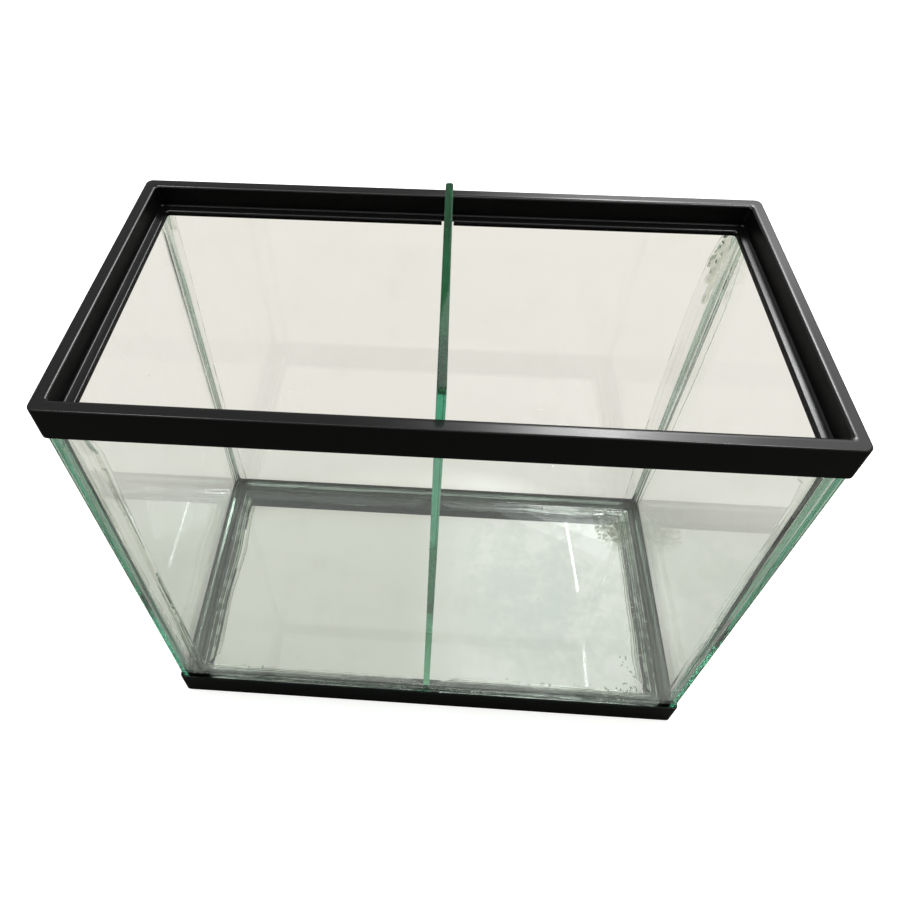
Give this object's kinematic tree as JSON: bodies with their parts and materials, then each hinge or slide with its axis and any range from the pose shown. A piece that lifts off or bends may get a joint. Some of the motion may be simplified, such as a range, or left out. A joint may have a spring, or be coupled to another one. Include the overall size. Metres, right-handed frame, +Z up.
{
  "type": "divided fish tank",
  "caption": "Rimmed glass fish tank with black moulded top and base frames and a loose clear glass divider that lifts out of notches in the top frame",
  "frame": {"origin": "centre of the box that holds the tank, at the height it stands on", "axes": "X along the tank's long side to the right, Y from the front to the back, Z up"},
  "size_m": [0.514, 0.257, 0.486],
  "materials": {
    "float_glass": "clear float glass, faint green",
    "divider_glass": "clear float glass with green cut edges",
    "black_plastic": "glossy black moulded plastic",
    "clear_silicone": "clear silicone sealant, tooled"
  },
  "bodies": {
    "tank": {"floor_glass": "float_glass", "front_glass": "float_glass", "back_glass": "float_glass", "left_glass": "float_glass", "right_glass": "float_glass", "top_frame": "black_plastic", "base_frame": "black_plastic", "corner_seal_front_left": "clear_silicone", "corner_seal_front_right": "clear_silicone", "corner_seal_back_right": "clear_silicone", "corner_seal_back_left": "clear_silicone", "floor_seal_front": "clear_silicone", "floor_seal_right": "clear_silicone", "floor_seal_back": "clear_silicone", "floor_seal_left": "clear_silicone", "corner_bond_front_left": "clear_silicone", "corner_bond_front_right": "clear_silicone", "corner_bond_back_right": "clear_silicone", "corner_bond_back_left": "clear_silicone", "floor_bond": "clear_silicone", "base_frame_bond": "clear_silicone", "top_frame_bond": "clear_silicone"},
    "divider": {"divider_glass": "divider_glass"}
  },
  "joints": [
    {"name": "divider_lift", "type": "slide", "parent": "tank", "child": "divider", "axis": [0, 0, 1], "range_m": [0, 0.47]}
  ]
}
